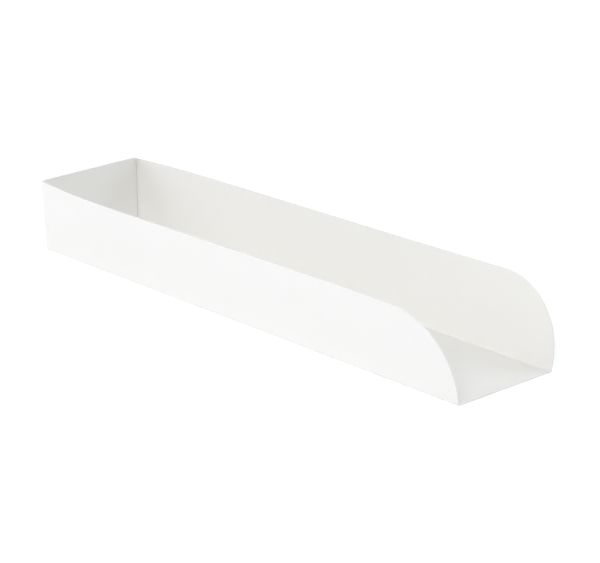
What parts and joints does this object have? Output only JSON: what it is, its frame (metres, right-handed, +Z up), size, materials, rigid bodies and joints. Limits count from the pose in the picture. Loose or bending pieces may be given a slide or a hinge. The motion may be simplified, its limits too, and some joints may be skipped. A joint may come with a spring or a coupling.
{
  "type": "paper food tray",
  "caption": "Long, narrow tray folded from one sheet of white board, with flared side walls, an end wall and an open end with rounded side walls.",
  "frame": {"origin": "middle of the tray's outline in plan, on the surface that the floor stands on", "axes": "+X along the tray towards its open end, +Z up, +Y towards the far side wall"},
  "size_m": [0.1814, 0.045, 0.0242],
  "materials": {
    "paperboard": "matt, uncoated inside and lightly smoothed outside, with fine fibre and pale raised creases"
  },
  "bodies": {
    "root": {"tray_body": "paperboard"}
  },
  "joints": []
}
